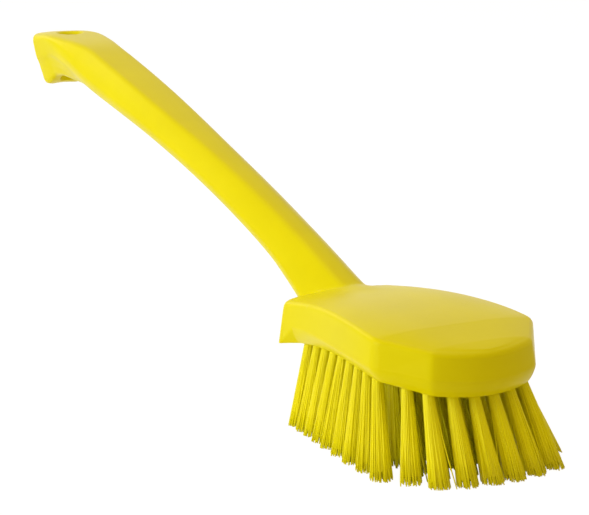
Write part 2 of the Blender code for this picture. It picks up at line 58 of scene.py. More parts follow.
REAR_WIDTH = 0.061
NOSE_WIDTH = 0.049  # front face, between the cut corners
WALL_HEIGHT = 0.0188
BRISTLE_REACH = 0.0340  # from the foot of the head to the bristle ends

# Head outline
CORNER_CUT = 0.021  # length along X of each cut front corner
NOSE_BOW = 0.0068  # how far the front face swells forward
REAR_CORNER_RADIUS = 0.003
FRONT_CORNER_SOFTENING = 0.0030  # finish
SIDE_LEAD_SHARES = (0.45, 0.12)  # first handle of the side's curve: along the side, of its flare
SIDE_TAIL_SHARES = (0.27, 0.03)  # second handle, measured back from the front corner
MITRE_LIMIT = 0.5  # keeps offsets at sharp corners short
LEAST_RUN = 1e-9

# Head walls, top and underside
HEAD_ARCH = 0.0055  # rise of the arched underside over its ends
ARCH_PEAK_SHARE = 0.47
NOSE_DROP_SHARE = 0.2  # of the arch, how much lower the nose ends than the rear
WALL_DRAFT = 0.0013  # the side walls lean out this much from top to bottom
END_DRAFT = 0.0026  # the rear and nose walls
TOP_ROUND = 0.0026
TOP_CROWN = 0.0019
CROWN_FADE = 0.030  # length over which the crown flattens toward the nose
CROWN_POWER = 4
FOOT_BEVEL = 0.0044  # inward step of the rounded bevel under the walls
FOOT_BEVEL_HEIGHT = 0.0078  # at the rear and the nose
SIDE_BEVEL_HEIGHT = 0.0048
FOOT_PROFILE_SHARES = (  # height, inward step: finish
    (0.0, 1.0), (0.12, 0.82), (0.28, 0.61), (0.44, 0.43), (0.62, 0.26), (0.80, 0.11), (1.0, 0.0),
)
LIP_DEPTH = 0.0012  # the rear wall keeps its full foot as a scraping lip
LIP_PEAK = 0.0125  # the flat cut behind the lip meets the bevel's top edge here, as a triangle
LIP_END = 0.0115  # and its foot here
ROOT_SWELL = 0.0022  # blend of the head's top into the handle's ridge
ROOT_SWELL_PLACE = 0.008
ROOT_SWELL_LENGTH = 0.013
ROOT_SWELL_WIDTH = 0.009

# Handle
HANDLE_EMBED = 0.024  # how far the handle runs into the head from the rear face
HANDLE_FOOT = 0.0193  # height at which the handle's ridge starts inside the head
HANDLE_RISE = 0.0846
GRIP_HALF_WIDTH = 0.0139
GRIP_DEPTH = 0.0172
FACET_HALF_WIDTH = 0.0067  # flat top face at mid handle
RIDGE_SOFTENING = 0.0018  # finish
FACET_CROWN = 0.0003  # finish
FLANK_CROWN = 0.0005  # finish
TIP_BOW = 0.0070  # how far the tip's end face swells backward
TIP_ROUND = 0.0012
TIP_CAP_SHARES = (0.93, 0.7, 0.45, 0.2)  # rings of the end face, of its full size
HANDLE_STATIONS = 144
STATION_CROWDING_SHARE = 0.45  # stations lie closer together toward the tip
HANDLE_RUN = BODY_LENGTH - HEAD_LENGTH + HANDLE_EMBED - TIP_ROUND

# Handle shares: place along the handle, then the share of the named size there
RIDGE_HEIGHT_SHARES = (
    (0.0, 0.0), (0.05, 0.070), (0.19, 0.271), (0.358, 0.485), (0.565, 0.719),
    (0.765, 0.923), (0.828, 0.974), (0.906, 0.998), (0.953, 1.0), (1.0, 0.982),
)
FACET_SHARES = (
    (0.0, 0.76), (0.19, 0.73), (0.27, 0.76), (0.43, 0.96), (0.565, 1.24),
    (0.66, 1.37), (0.765, 1.37), (0.828, 1.20), (1.0, 1.20),
)
WIDTH_SHARES = (
    (0.0, 1.34), (0.05, 1.26), (0.085, 1.19), (0.12, 1.12), (0.19, 1.02), (0.29, 1.0), (0.43, 1.0),
    (0.565, 1.05), (0.70, 1.11), (0.80, 1.14), (0.92, 1.13), (1.0, 1.10),
)
DEPTH_SHARES = (
    (0.0, 1.15), (0.07, 1.30), (0.12, 1.22), (0.19, 1.08), (0.29, 1.01), (0.43, 1.0),
    (0.565, 1.05), (0.70, 1.17), (0.80, 1.24), (0.86, 1.24), (0.91, 1.23), (0.94, 1.30), (0.965, 1.50),
    (0.985, 1.60), (1.0, 1.60),
)
SHOULDER_SHARES = ((0.0, 0.55), (0.06, 0.54), (0.13, 0.50), (0.30, 0.47), (0.80, 0.48), (1.0, 0.40))
LEAN_DEGREES = (
    (0.0, 21.0), (0.36, 17.0), (0.70, 15.0), (0.79, 11.0), (0.86, 2.0), (0.92, -7.0), (1.0, -18.0),
)
TIP_BLEND_SHARES = ((0.0, 0.0), (0.74, 0.0), (0.80, 0.12), (0.87, 0.62), (0.93, 1.0), (1.0, 1.0))

# Half sections run from the middle of the top face to the middle of the underside, counted in turns
TIP_SECTION_SHARES = (  # one turn each: across, down
    (0.0, 0.0), (0.34, 0.0), (0.66, 0.0), (0.82, 0.012), (0.93, 0.04), (0.985, 0.09), (1.0, 0.15),
    (0.975, 0.30), (0.93, 0.45), (0.84, 0.56), (0.75, 0.76), (0.60, 0.97), (0.0, 0.98),
)
FACET_END = 2
RIDGE_END = 4
FLANK_END = 7
SECTION_END = len(TIP_SECTION_SHARES) - 1
SECTION_SUBSTEPS = 3

# Hanging hole
HANG_HOLE_RADIUS = 0.0055
HANG_HOLE_SETBACK = 0.022
HANG_RIM_RADIUS = 0.0072
HANG_RIM_DEPTH = 0.0014
HANG_HOLE_STEPS = 64

# Tufts
TUFT_HOLE_RADIUS = 0.0027
TUFT_HOLE_DEPTH = 0.0110
TUFT_CLEARANCE = 0.0003
TUFT_FLARE_SHARE = 2.0  # width of the trimmed end, of the root's
TUFT_WALL = 0.0012  # plastic between an outer hole and the bevel
FIRST_ROW = 0.0140
LAST_ROW_SETBACK = 0.0367
TUFTS_PER_ROW = (5, 5, 5, 5, 5, 5, 5, 6, 6)
FRONT_ROW_SETBACK = 0.0222
FRONT_TUFTS = 6
NOSE_CORNER_SHARE = 0.26
NOSE_TUFTS = 6
LEAN_START = 0.026
LAST_ROW_LEAN_SHARE = 0.51  # leans and splays are runs for each unit of drop
FRONT_LEAN_SHARE = 0.42
NOSE_LEAN_SHARE = 0.48
FIRST_ROW_SPLAY_SHARE = 0.15
LAST_ROW_SPLAY_SHARE = 0.26
FRONT_SPLAY_SHARE = 0.20
NOSE_SPLAY_SHARE = 0.14
HOLE_SIDES = 20

# Filaments
INNER_FILAMENTS = 50
OUTER_FILAMENTS = 60
FILAMENT_RADIUS = 0.00027
FILAMENT_SIDES = 5
FILAMENT_STEPS = 4
FILAMENT_WANDER = 0.0006  # sideways spread of the trimmed ends
FILAMENT_BEND = 0.0002
OUTER_SHIFT_SHARE = 0.4  # of the spacing between outer filaments
RAGGED_END = 0.0006
LONGEST_CUT = 0.0020
BUNDLE_RADIUS = TUFT_HOLE_RADIUS - TUFT_CLEARANCE - FILAMENT_RADIUS
CORE_SHARE = 0.97
CORE_SIDES = 24
CORE_LEVEL_SHARES = (0.0, 0.3, 0.6, 0.965)
CORE_SINK = 0.001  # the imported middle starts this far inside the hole
STRAY_CHANCE = 0.012
STRAY_REACH = 0.0030
GOLDEN_ANGLE = math.pi * (3.0 - math.sqrt(5.0))
SEED = 7

# Surface steps of the body
PLAIN = 1  # the source's own steps, which the tufts' places follow
FINE = 4  # the visible surface
CORNER_STEPS = 3
SIDE_STEPS = 12
NOSE_STEPS = 6
CROSS_STEPS = 12
LIP_STEPS = 4
ROUND_STEPS = 8
CURVE_SAMPLES = 400
CUT_OVERRUN = 0.004
VOXEL = 0.0004  # grid of the one skin over head and handle
SURFACE_PASSES = 2  # smoothing of the whole skin
FILLET_PASSES = 70  # more smoothing where handle and head meet
FILLET_REACH = 0.0060
HOLE_EDGE_DEGREES = 50.0

# Moulded plastic: noise scales are counts for each metre
MOULDED_COLORS = ((0.865, 0.82, 0.0, 1.0), (0.905, 0.86, 0.0, 1.0))
MOULDED_ROUGHNESS = (0.28, 0.38)
MOULDED_SPECULAR = 0.09
CLOUD_SCALE = 38.0
CLOUD_DETAIL = 3.0
CLOUD_GRAIN = 0.55
CLOUD_RANGE = (0.3, 0.7)
SKIN_SCALE = 900.0
SKIN_DETAIL = 2.0
SKIN_BUMP = 0.06
SKIN_DEPTH = 0.0002

# Filament plastic
FILAMENT_COLORS = ((0.96, 0.92, 0.0, 1.0), (1.0, 0.965, 0.0, 1.0))
FILAMENT_ROUGHNESS = 0.42
FILAMENT_SPECULAR = 0.2
STREAK_SCALE = 260.0
STREAK_DETAIL = 2.0
STREAK_SHARE = 0.25

# Camera, fitted to the photograph
CAMERA_PLACE = Vector((1.06615, -0.5946, 0.3147))
CAMERA_AIM = Vector((0.05095, -0.0059, 0.06388))
CAMERA_REACH = 20.0
LENS_MM = 163.7
SENSOR_MM = 36.0

# Floor and surroundings
STAGE_SIZE = 6.0
BACKGROUND = (1.0, 1.0, 1.0, 1.0)
BACKGROUND_LEVEL = 1.0
FLOOR_COLOR = (0.90, 0.90, 0.90, 1.0)
FLOOR_GLOW = 1.12
FLOOR_GLOW_SHARE = 0.86  # the rest shows the object's shadow
AMBIENT_COLOR = (1.0, 0.70, 0.50, 1.0)
AMBIENT_LEVEL = 0.34

# Lamps: name, place, diameter, watts, colour
KEY_COLOR = (1.0, 1.0, 1.0)
FILL_COLOR = (1.0, 0.88, 0.76)
LAMP_AIM = Vector((0.05, 0.0, 0.06))
LAMPS = (
    ("key_left", Vector((-0.12, -1.3, 0.45)), 1.1, 9.5, KEY_COLOR),
    ("fill_top", Vector((0.15, 0.0, 1.6)), 1.4, 7.7, FILL_COLOR),
    ("rim_rear", Vector((-1.25, -0.35, 0.75)), 0.6, 2.4, FILL_COLOR),
)


# Curves

def smooth_table(table, place):
    """A smooth value at a place, read from a table of (place, value) pairs."""
    last = len(table) - 1
    index = 0
    while index < last - 1 and place > table[index + 1][0]:
        index += 1

    def slope(at):
        low = table[max(at - 1, 0)]
        high = table[min(at + 1, last)]
        return (high[1] - low[1]) / (high[0] - low[0])

    start, end = table[index], table[index + 1]
    width = end[0] - start[0]
    t = min(max((place - start[0]) / width, 0.0), 1.0)
    ease_end = t * t * (3.0 - 2.0 * t)
    ease_out = t * (1.0 - t) ** 2
    ease_in = t * t * (1.0 - t)
    curve = start[1] * (1.0 - ease_end) + end[1] * ease_end
    return curve + width * (slope(index) * ease_out - slope(index + 1) * ease_in)


def ramp(value, start, width):
    """Zero up to the start, one past the width, and straight between."""
    return min(max((value - start) / width, 0.0), 1.0)


def bent(start, corner, end, t):
    """A point on the curve from start to end that rounds the corner between them."""
    return start * (1 - t) ** 2 + corner * 2 * t * (1 - t) + end * t * t


def softened(before, corner, after, reach, steps):
    """Points that round a corner of an outline."""
    start = corner + (before - corner).normalized() * reach
    end = corner + (after - corner).normalized() * reach
    return [bent(start, corner, end, step / steps) for step in range(steps + 1)]


def value_on(curve, x):
    """The y at x on a run of points whose x grows."""
    for first, second in zip(curve, curve[1:]):
        if first.x <= x <= second.x:
            share = (x - first.x) / max(second.x - first.x, LEAST_RUN)
            return first.y + (second.y - first.y) * share
    return curve[-1].y


def spokes(count, shift_share=0.0):
    """Directions round a circle, the first one turned by a share of the spacing."""
    angles = [math.tau * (step + shift_share) / count for step in range(count)]
    return [(math.cos(angle), math.sin(angle)) for angle in angles]


def across_shares(count):
    """Even places across the head, from -1 to 1."""
    return [2 * column / (count - 1) - 1 for column in range(count)]


# Meshes and objects

def add_object(name, data):
    made = bpy.data.objects.new(name, data)
    bpy.context.scene.collection.objects.link(made)
    return made


def mesh_data(name, mesh):
    data = bpy.data.meshes.new(name)
    mesh.to_mesh(data)
    mesh.free()
    return data


def mesh_object(name, mesh, origin):
    """A new object from a mesh in the part's own axes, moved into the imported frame."""
    bmesh.ops.translate(mesh, verts=mesh.verts, vec=origin)
    bmesh.ops.recalc_face_normals(mesh, faces=mesh.faces)
    return add_object(name, mesh_data(name, mesh))


def bridge(mesh, loops):
    """Faces between each loop of vertices and the next."""
    for lower, upper in zip(loops, loops[1:]):
        count = len(lower)
        for index in range(count):
            after = (index + 1) % count
            mesh.faces.new((lower[index], lower[after], upper[after], upper[index]))


def add_tube(mesh, rings):
    """A closed form through rings of points, with flat ends."""
    loops = [[mesh.verts.new(point) for point in ring] for ring in rings]
    bridge(mesh, loops)
    mesh.faces.new(loops[0][::-1])
    mesh.faces.new(loops[-1])


def boolean(target, operand, operation):
    modifier = target.modifiers.new(operation.lower(), "BOOLEAN")
    modifier.operation = operation
    modifier.object = operand
    modifier.solver = "EXACT"


def apply_modifiers(made):
    graph = bpy.context.evaluated_depsgraph_get()
    data = bpy.data.meshes.new_from_object(made.evaluated_get(graph))
    made.modifiers.clear()
    made.data = data


# Head

def arch(x):
    """Rise of the head's underside at x."""
    share = x / HEAD_LENGTH
    if share < ARCH_PEAK_SHARE:
        return HEAD_ARCH * (1.0 - (1.0 - share / ARCH_PEAK_SHARE) ** 2)
    fall = (share - ARCH_PEAK_SHARE) / (1.0 - ARCH_PEAK_SHARE)
    return HEAD_ARCH * (1.0 - (1.0 + NOSE_DROP_SHARE) * fall ** 2)


def half_outline(fineness):
    """The head's top outline on the +Y side, from the rear face's centre to the nose's centre."""
    rear = REAR_WIDTH / 2
    front = HEAD_WIDTH / 2
    nose = NOSE_WIDTH / 2
    nose_start = HEAD_LENGTH - NOSE_BOW
    side_end = nose_start - CORNER_CUT
    radius = REAR_CORNER_RADIUS
    rear_steps = CROSS_STEPS * fineness // 2
    corner_steps = CORNER_STEPS * fineness
    lip_steps = LIP_STEPS * fineness
    side_steps = SIDE_STEPS * fineness
    nose_steps = NOSE_STEPS * fineness

    straight = rear - radius
    points = [Vector((0.0, straight * step / rear_steps)) for step in range(rear_steps)]
    for step in range(corner_steps + 1):
        angle = math.radians(90.0) * step / corner_steps
        points.append(Vector((radius - radius * math.cos(angle), straight + radius * math.sin(angle))))

    flare = front - rear
    start = Vector((radius, rear))
    end = Vector((side_end, front))
    lead = start + Vector((SIDE_LEAD_SHARES[0] * side_end, SIDE_LEAD_SHARES[1] * flare))
    tail = end - Vector((SIDE_TAIL_SHARES[0] * side_end, SIDE_TAIL_SHARES[1] * flare))
    curve = geometry.interpolate_bezier(start, lead, tail, end, CURVE_SAMPLES)
    columns = [radius + (LIP_PEAK - radius) * (step + 1) / lip_steps for step in range(lip_steps)]
    columns += [LIP_PEAK + (side_end - LIP_PEAK) * (step + 1) / side_steps for step in range(side_steps)]
    reach = side_end - FRONT_CORNER_SOFTENING
    side = [Vector((x, value_on(curve, x))) for x in columns if x < reach]
    points += side

    nose_corner = Vector((nose_start, nose))
    bow = []
    for step in range(1, nose_steps + 1):
        share = 1.0 - step / nose_steps
        bow.append(Vector((nose_start + NOSE_BOW * (1.0 - share ** 2), nose * share)))
    points += softened(side[-1], end, nose_corner, FRONT_CORNER_SOFTENING, corner_steps)
    points += softened(end, nose_corner, bow[fineness - 1], FRONT_CORNER_SOFTENING / 2, corner_steps)
    return points + [point for point in bow if point.y < points[-1].y]


def whole_outline(fineness):
    """The top outline all round, from the rear face's centre along the +Y side first."""
    half = half_outline(fineness)
    mirrored = [Vector((point.x, -point.y)) for point in reversed(half[1:-1])]
    return half + mirrored


def outward_normals(outline):
    """The outline's outward directions, lengthened at corners so that offset walls stay parallel."""
    normals = []
    count = len(outline)
    for index, point in enumerate(outline):
        before = (point - outline[index - 1]).normalized()
        after = (outline[(index + 1) % count] - point).normalized()
        mean = Vector((-before.y - after.y, before.x + after.x)).normalized()
        normals.append(mean / max(mean.dot(Vector((-before.y, before.x))), MITRE_LIMIT))
    return normals


def inset_half(margin):
    """The outline's +Y half, moved inward by a margin, from behind the first row to the nose."""
    outline = whole_outline(PLAIN)
    normals = outward_normals(outline)
    moved = [point - normal * margin for point, normal in zip(outline, normals)]
    half = moved[:len(half_outline(PLAIN))]
    return [point for point in half if point.y > 0 and point.x > FIRST_ROW / 2]


def crown(x, y, width):
    """How far the top stands over the walls: a flat dome that swells where the handle grows out."""
    across = min(abs(y) / width, 1.0) if width else 1.0
    fade = 1.0 - ramp(x, HEAD_LENGTH - CROWN_FADE, CROWN_FADE) ** 2
    along = (x - ROOT_SWELL_PLACE) / ROOT_SWELL_LENGTH
    swell = math.exp(-(along ** 2) - (y / ROOT_SWELL_WIDTH) ** 2) * ramp(x, 0.0, ROOT_SWELL_PLACE)
    return (TOP_CROWN * fade + ROOT_SWELL * swell) * (1.0 - across ** CROWN_POWER)


def bevel_height(x):
    """The bevel is lower along the sides than at the rear and the nose."""
    share = x / HEAD_LENGTH
    dip = math.sin(math.pi * share) ** 2
    return FOOT_BEVEL_HEIGHT - (FOOT_BEVEL_HEIGHT - SIDE_BEVEL_HEIGHT) * dip


def ring(outline, normals, inset, height):
    """One level of the head's wall: inset and height are functions of the outline point."""
    points = []
    for point, normal in zip(outline, normals):
        place = point - normal * inset(point)
        points.append(Vector((place.x, place.y, height(point) + arch(place.x))))
    return points


def head_levels():
    """The rings of the head from its foot to the rounded top edge."""
    outline = whole_outline(FINE)
    normals = outward_normals(outline)

    def bevel(point, height_share, step_share):
        """Inward step of the bevel, which a flat triangular cut starts behind the rear lip."""
        run = point.x - LIP_DEPTH - (LIP_PEAK - LIP_DEPTH) * height_share
        cut = FOOT_BEVEL * max(run, 0.0) / (LIP_END - LIP_DEPTH)
        return min(cut, FOOT_BEVEL * step_share)

    def draft(point, height):
        """How far the wall leans out over the top outline at a height."""
        rear_share = 1.0 - ramp(point.x, 0.0, REAR_CORNER_RADIUS)
        nose_share = ramp(point.x, HEAD_LENGTH - NOSE_BOW - CORNER_CUT, CORNER_CUT)
        full = WALL_DRAFT + (END_DRAFT - WALL_DRAFT) * max(rear_share, nose_share)
        return full * (1.0 - height / (WALL_HEIGHT - TOP_ROUND))

    def rear_rise(point):
        """The rear edge follows the crown of the top."""
        return crown(0.0, point.y, REAR_WIDTH / 2) if point.x < REAR_CORNER_RADIUS else 0.0

    levels = []
    for height_share, step_share in FOOT_PROFILE_SHARES:
        levels.append(ring(
            outline, normals,
            lambda point, step=step_share, height=height_share: (
                bevel(point, height, step) - draft(point, bevel_height(point.x) * height)
            ),
            lambda point, height=height_share: bevel_height(point.x) * height,
        ))
    for step in range(ROUND_STEPS + 1):
        angle = math.radians(90.0) * step / ROUND_STEPS
        inset = TOP_ROUND * (1.0 - math.cos(angle))
        drop = TOP_ROUND * (1.0 - math.sin(angle))
        levels.append(ring(
            outline, normals,
            lambda point, inset=inset: inset,
            lambda point, drop=drop: WALL_HEIGHT - drop + rear_rise(point),
        ))
    return levels


def add_cap(mesh, loop, half_count, lift, flip):
    """Closes a ring with strips that run across the head, from the rear edge to the nose."""
    count = len(loop)
    cross_steps = CROSS_STEPS * FINE
    rear_steps = cross_steps // 2
    previous = [loop[(index - rear_steps) % count] for index in range(cross_steps + 1)]
    for index in range(rear_steps + 1, half_count):
        right = loop[index]
        if index == half_count - 1:
            current = [right] * (cross_steps + 1)
        else:
            left = loop[count - index]
            current = [left]
            for step in range(1, cross_steps):
                place = left.co.lerp(right.co, step / cross_steps)
                place.z += lift(place, abs(right.co.y))
                current.append(mesh.verts.new(place))
            current.append(right)
        for step in range(cross_steps):
            face = [previous[step], previous[step + 1], current[step + 1], current[step]]
            face = list(dict.fromkeys(face))
            mesh.faces.new(face if flip else face[::-1])
        previous = current


def build_head(origin):
    """The head's block: drafted walls, bevelled foot, rear lip and crowned, arched top."""
    mesh = bmesh.new()
    half_count = len(half_outline(FINE))
    loops = [[mesh.verts.new(point) for point in level] for level in head_levels()]
    bridge(mesh, [loop[::-1] for loop in loops])
    add_cap(mesh, loops[0], half_count, lambda place, width: 0.0, False)
    add_cap(mesh, loops[-1], half_count, lambda place, width: crown(place.x, place.y, width), True)
    return mesh_object("moulded_body", mesh, origin)


# Handle

def ridge_height(place):
    return HANDLE_FOOT + HANDLE_RISE * smooth_table(RIDGE_HEIGHT_SHARES, place)


def half_width(place):
    return GRIP_HALF_WIDTH * smooth_table(WIDTH_SHARES, place)


def grip_depth(place):
    return GRIP_DEPTH * smooth_table(DEPTH_SHARES, place)


def grip_point(place, turn):
    """A point of the grip's half section: crowned facet, soft ridge, bulging flank, round underside."""
    facet = FACET_HALF_WIDTH * smooth_table(FACET_SHARES, place)
    width = half_width(place)
    depth = grip_depth(place)
    shoulder = depth * smooth_table(SHOULDER_SHARES, place)
    corner = Vector((facet, 0.0))
    flank = Vector((width - facet, -shoulder))
    bulge = Vector((-flank.y, flank.x)).normalized() * 2.0 * FLANK_CROWN
    flank_start = corner + (flank / 2 + bulge).normalized() * RIDGE_SOFTENING

    def on_facet(across):
        return Vector((across, FACET_CROWN * (1.0 - (across / facet) ** 2)))

    if turn <= FACET_END:
        return on_facet((facet - RIDGE_SOFTENING) * turn / FACET_END)
    if turn <= RIDGE_END:
        t = (turn - FACET_END) / (RIDGE_END - FACET_END)
        return bent(on_facet(facet - RIDGE_SOFTENING), corner, flank_start, t)
    if turn <= FLANK_END:
        t = (turn - RIDGE_END) / (FLANK_END - RIDGE_END)
        middle = (flank_start + corner + flank) / 2 + bulge
        return bent(flank_start, middle, corner + flank, t)
    angle = math.radians(90.0) * (turn - FLANK_END) / (SECTION_END - FLANK_END)
    return Vector((width * math.cos(angle), -shoulder - (depth - shoulder) * math.sin(angle)))


def handle_section(place):
    """One whole section: the grip's, turning into the tip's where the hook begins."""
    width = half_width(place)
    depth = grip_depth(place)
    blend = min(max(smooth_table(TIP_BLEND_SHARES, place), 0.0), 1.0)
    across_table = [(index, pair[0]) for index, pair in enumerate(TIP_SECTION_SHARES)]
    down_table = [(index, pair[1]) for index, pair in enumerate(TIP_SECTION_SHARES)]
    half = []
    for step in range(SECTION_END * SECTION_SUBSTEPS + 1):
        turn = step / SECTION_SUBSTEPS
        across = width * smooth_table(across_table, turn)
        down = depth * smooth_table(down_table, turn)
        half.append(grip_point(place, turn).lerp(Vector((across, -down)), blend))
    return half + [Vector((-point.x, point.y)) for point in reversed(half[1:-1])]


def handle_ring(place, size_share):
    """The handle's section where it stands, bowed toward the tip, at a share of its full size."""
    lean = math.radians(smooth_table(LEAN_DEGREES, place))
    up = Vector((math.sin(lean), 0.0, math.cos(lean)))
    ridge = Vector((HANDLE_EMBED - HANDLE_RUN * place, 0.0, ridge_height(place)))
    bow_start = TIP_BLEND_SHARES[1][0]
    bow = TIP_BOW * ramp(place, bow_start, 1.0 - bow_start) ** 2
    section = handle_section(place)
    width = max(point.x for point in section)
    middle = min(point.y for point in section) / 2
    points = []
    for point in section:
        across = point.x * size_share
        height = middle + (point.y - middle) * size_share
        points.append(ridge + Vector((bow * (across / width) ** 2, across, 0.0)) + up * height)
    return points


def handle_rings():
    """The handle's sections along its curved ridge, from inside the head to the hooked tip."""
    rings = []
    for station in range(HANDLE_STATIONS + 1):
        share = station / HANDLE_STATIONS
        rings.append(handle_ring(share * (1.0 + STATION_CROWDING_SHARE * (1.0 - share)), 1.0))
    back = (rings[-1][0] - rings[-2][0]).normalized() * TIP_ROUND
    for size_share in TIP_CAP_SHARES:
        rings.append([point + back for point in handle_ring(1.0, size_share)])
    return rings


def build_handle(origin, rings):
    mesh = bmesh.new()
    add_tube(mesh, rings)
    return mesh_object("handle_form", mesh, origin)


# Cutters

def build_hang_hole(origin):
    """The hanging hole's cutter: a straight bore with a softened rim on top."""
    hole_x = HEAD_LENGTH - BODY_LENGTH + HANG_HOLE_SETBACK
    place = (HANDLE_EMBED - hole_x) / HANDLE_RUN
    top = ridge_height(place)
    bottom = top - grip_depth(place)
    profile = (
        (HANG_HOLE_RADIUS, bottom - CUT_OVERRUN),
        (HANG_HOLE_RADIUS, top - HANG_RIM_DEPTH),
        (HANG_RIM_RADIUS, top),
        (HANG_RIM_RADIUS, top + CUT_OVERRUN),
    )
    directions = spokes(HANG_HOLE_STEPS, 0.5)
    rings = []
    for radius, height in profile:
        rings.append([Vector((hole_x + radius * x, radius * y, height)) for x, y in directions])
    mesh = bmesh.new()
    add_tube(mesh, rings)
    return mesh_object("hang_hole_cutter", mesh, origin)


def build_tuft_holes(origin, tufts):
    """One blind round hole for each tuft, along the tuft's own slant."""
    mesh = bmesh.new()
    side_turn = Matrix.Rotation(math.radians(180.0) / HOLE_SIDES, 4, "Z")
    for tuft in tufts:
        centre = tuft["mouth"] - tuft["down"] * (TUFT_HOLE_DEPTH - CUT_OVERRUN) / 2
        bmesh.ops.create_cone(
            mesh, cap_ends=True, segments=HOLE_SIDES, radius1=TUFT_HOLE_RADIUS,
            radius2=TUFT_HOLE_RADIUS, depth=TUFT_HOLE_DEPTH + CUT_OVERRUN,
            matrix=Matrix.Translation(centre) @ tuft["turn"].to_4x4() @ side_turn,
        )
    return mesh_object("tuft_hole_cutter", mesh, origin)


# Body

def fillet_weight(place, origin):
    """One where the handle's flanks meet the head's top, falling to zero over the fillet's reach."""
    own = place - origin
    if own.x > HANDLE_EMBED or own.x < -FILLET_REACH:
        return 0.0
    top = WALL_HEIGHT + arch(own.x) + crown(own.x, own.y, REAR_WIDTH / 2)
    return 1.0 - ramp(abs(own.z - top), 0.0, FILLET_REACH)


def build_body(origin, rings, tufts):
    """The one-piece moulding: head and handle joined, softened as a moulding is, then drilled."""
    body = build_head(origin)
    handle = build_handle(origin, rings)
    hang_hole = build_hang_hole(origin)
    tuft_holes = build_tuft_holes(origin, tufts)
    for form in (body, handle):
        form.modifiers.new("triangles", "TRIANGULATE")
    boolean(body, handle, "UNION")
    boolean(body, hang_hole, "DIFFERENCE")
    skin = body.modifiers.new("skin", "REMESH")
    skin.mode = "VOXEL"
    skin.voxel_size = VOXEL
    apply_modifiers(body)

    group = body.vertex_groups.new(name="root_fillet")
    for vertex in body.data.vertices:
        weight = fillet_weight(vertex.co, origin)
        if weight > 0.0:
            group.add([vertex.index], weight, "REPLACE")
    surface = body.modifiers.new("surface", "SMOOTH")
    surface.iterations = SURFACE_PASSES
    fillet = body.modifiers.new("fillet", "SMOOTH")
    fillet.iterations = FILLET_PASSES
    fillet.vertex_group = group.name
    boolean(body, tuft_holes, "DIFFERENCE")
    apply_modifiers(body)
    for helper in (handle, hang_hole, tuft_holes):
        bpy.data.objects.remove(helper, do_unlink=True)
    body.data.shade_smooth()
    body.data.set_sharp_from_angle(angle=math.radians(HOLE_EDGE_DEGREES))
    return body


# Tufts

def tuft_place(name, x, y, forward, outward):
    """A tuft's place on the underside, its slant, and its length from there to the floor."""
    mouth = Vector((x, y, arch(x)))
    down = Vector((forward, outward, -1.0)).normalized()
    turn = down.to_track_quat("Z", "Y").to_matrix()
    length = -(mouth.z + BRISTLE_REACH) / down.z
    return {"name": name, "mouth": mouth, "down": down, "turn": turn, "length": length}


def tuft_layout():
    """Straight rows across the underside, ever further slanted, and one row along the bowed nose."""
    margin = FOOT_BEVEL - WALL_DRAFT + TUFT_HOLE_RADIUS + TUFT_WALL
    edge = inset_half(margin)
    last_row = len(TUFTS_PER_ROW) - 1
    last_row_x = HEAD_LENGTH - LAST_ROW_SETBACK
    spacing = (last_row_x - FIRST_ROW) / last_row
    rows = []
    for row, count in enumerate(TUFTS_PER_ROW):
        x = FIRST_ROW + spacing * row
        share = row / last_row
        forward = LAST_ROW_LEAN_SHARE * ramp(x, LEAN_START, last_row_x - LEAN_START) ** 2
        splay = FIRST_ROW_SPLAY_SHARE * (1.0 - share) + LAST_ROW_SPLAY_SHARE * share
        rows.append((x, count, forward, splay))
    rows.append((HEAD_LENGTH - FRONT_ROW_SETBACK, FRONT_TUFTS, FRONT_LEAN_SHARE, FRONT_SPLAY_SHARE))
    tufts = []
    for row, (x, count, forward, splay) in enumerate(rows, 1):
        reach = value_on(edge, x)
        for column, share in enumerate(across_shares(count), 1):
            tufts.append(tuft_place(f"row{row}_{column}", x, reach * share, forward, splay * share))
    corner = NOSE_WIDTH / 2 - margin * NOSE_CORNER_SHARE
    for column, share in enumerate(across_shares(NOSE_TUFTS), 1):
        y = corner * share
        x = HEAD_LENGTH - margin - NOSE_BOW * (y * 2 / NOSE_WIDTH) ** 2
        tufts.append(tuft_place(f"nose_{column}", x, y, NOSE_LEAN_SHARE, NOSE_SPLAY_SHARE * share))
    return tufts


def flare(share):
    """Width of a tuft at a share of its length, of the root's width."""
    return 1.0 + (TUFT_FLARE_SHARE - 1.0) * share


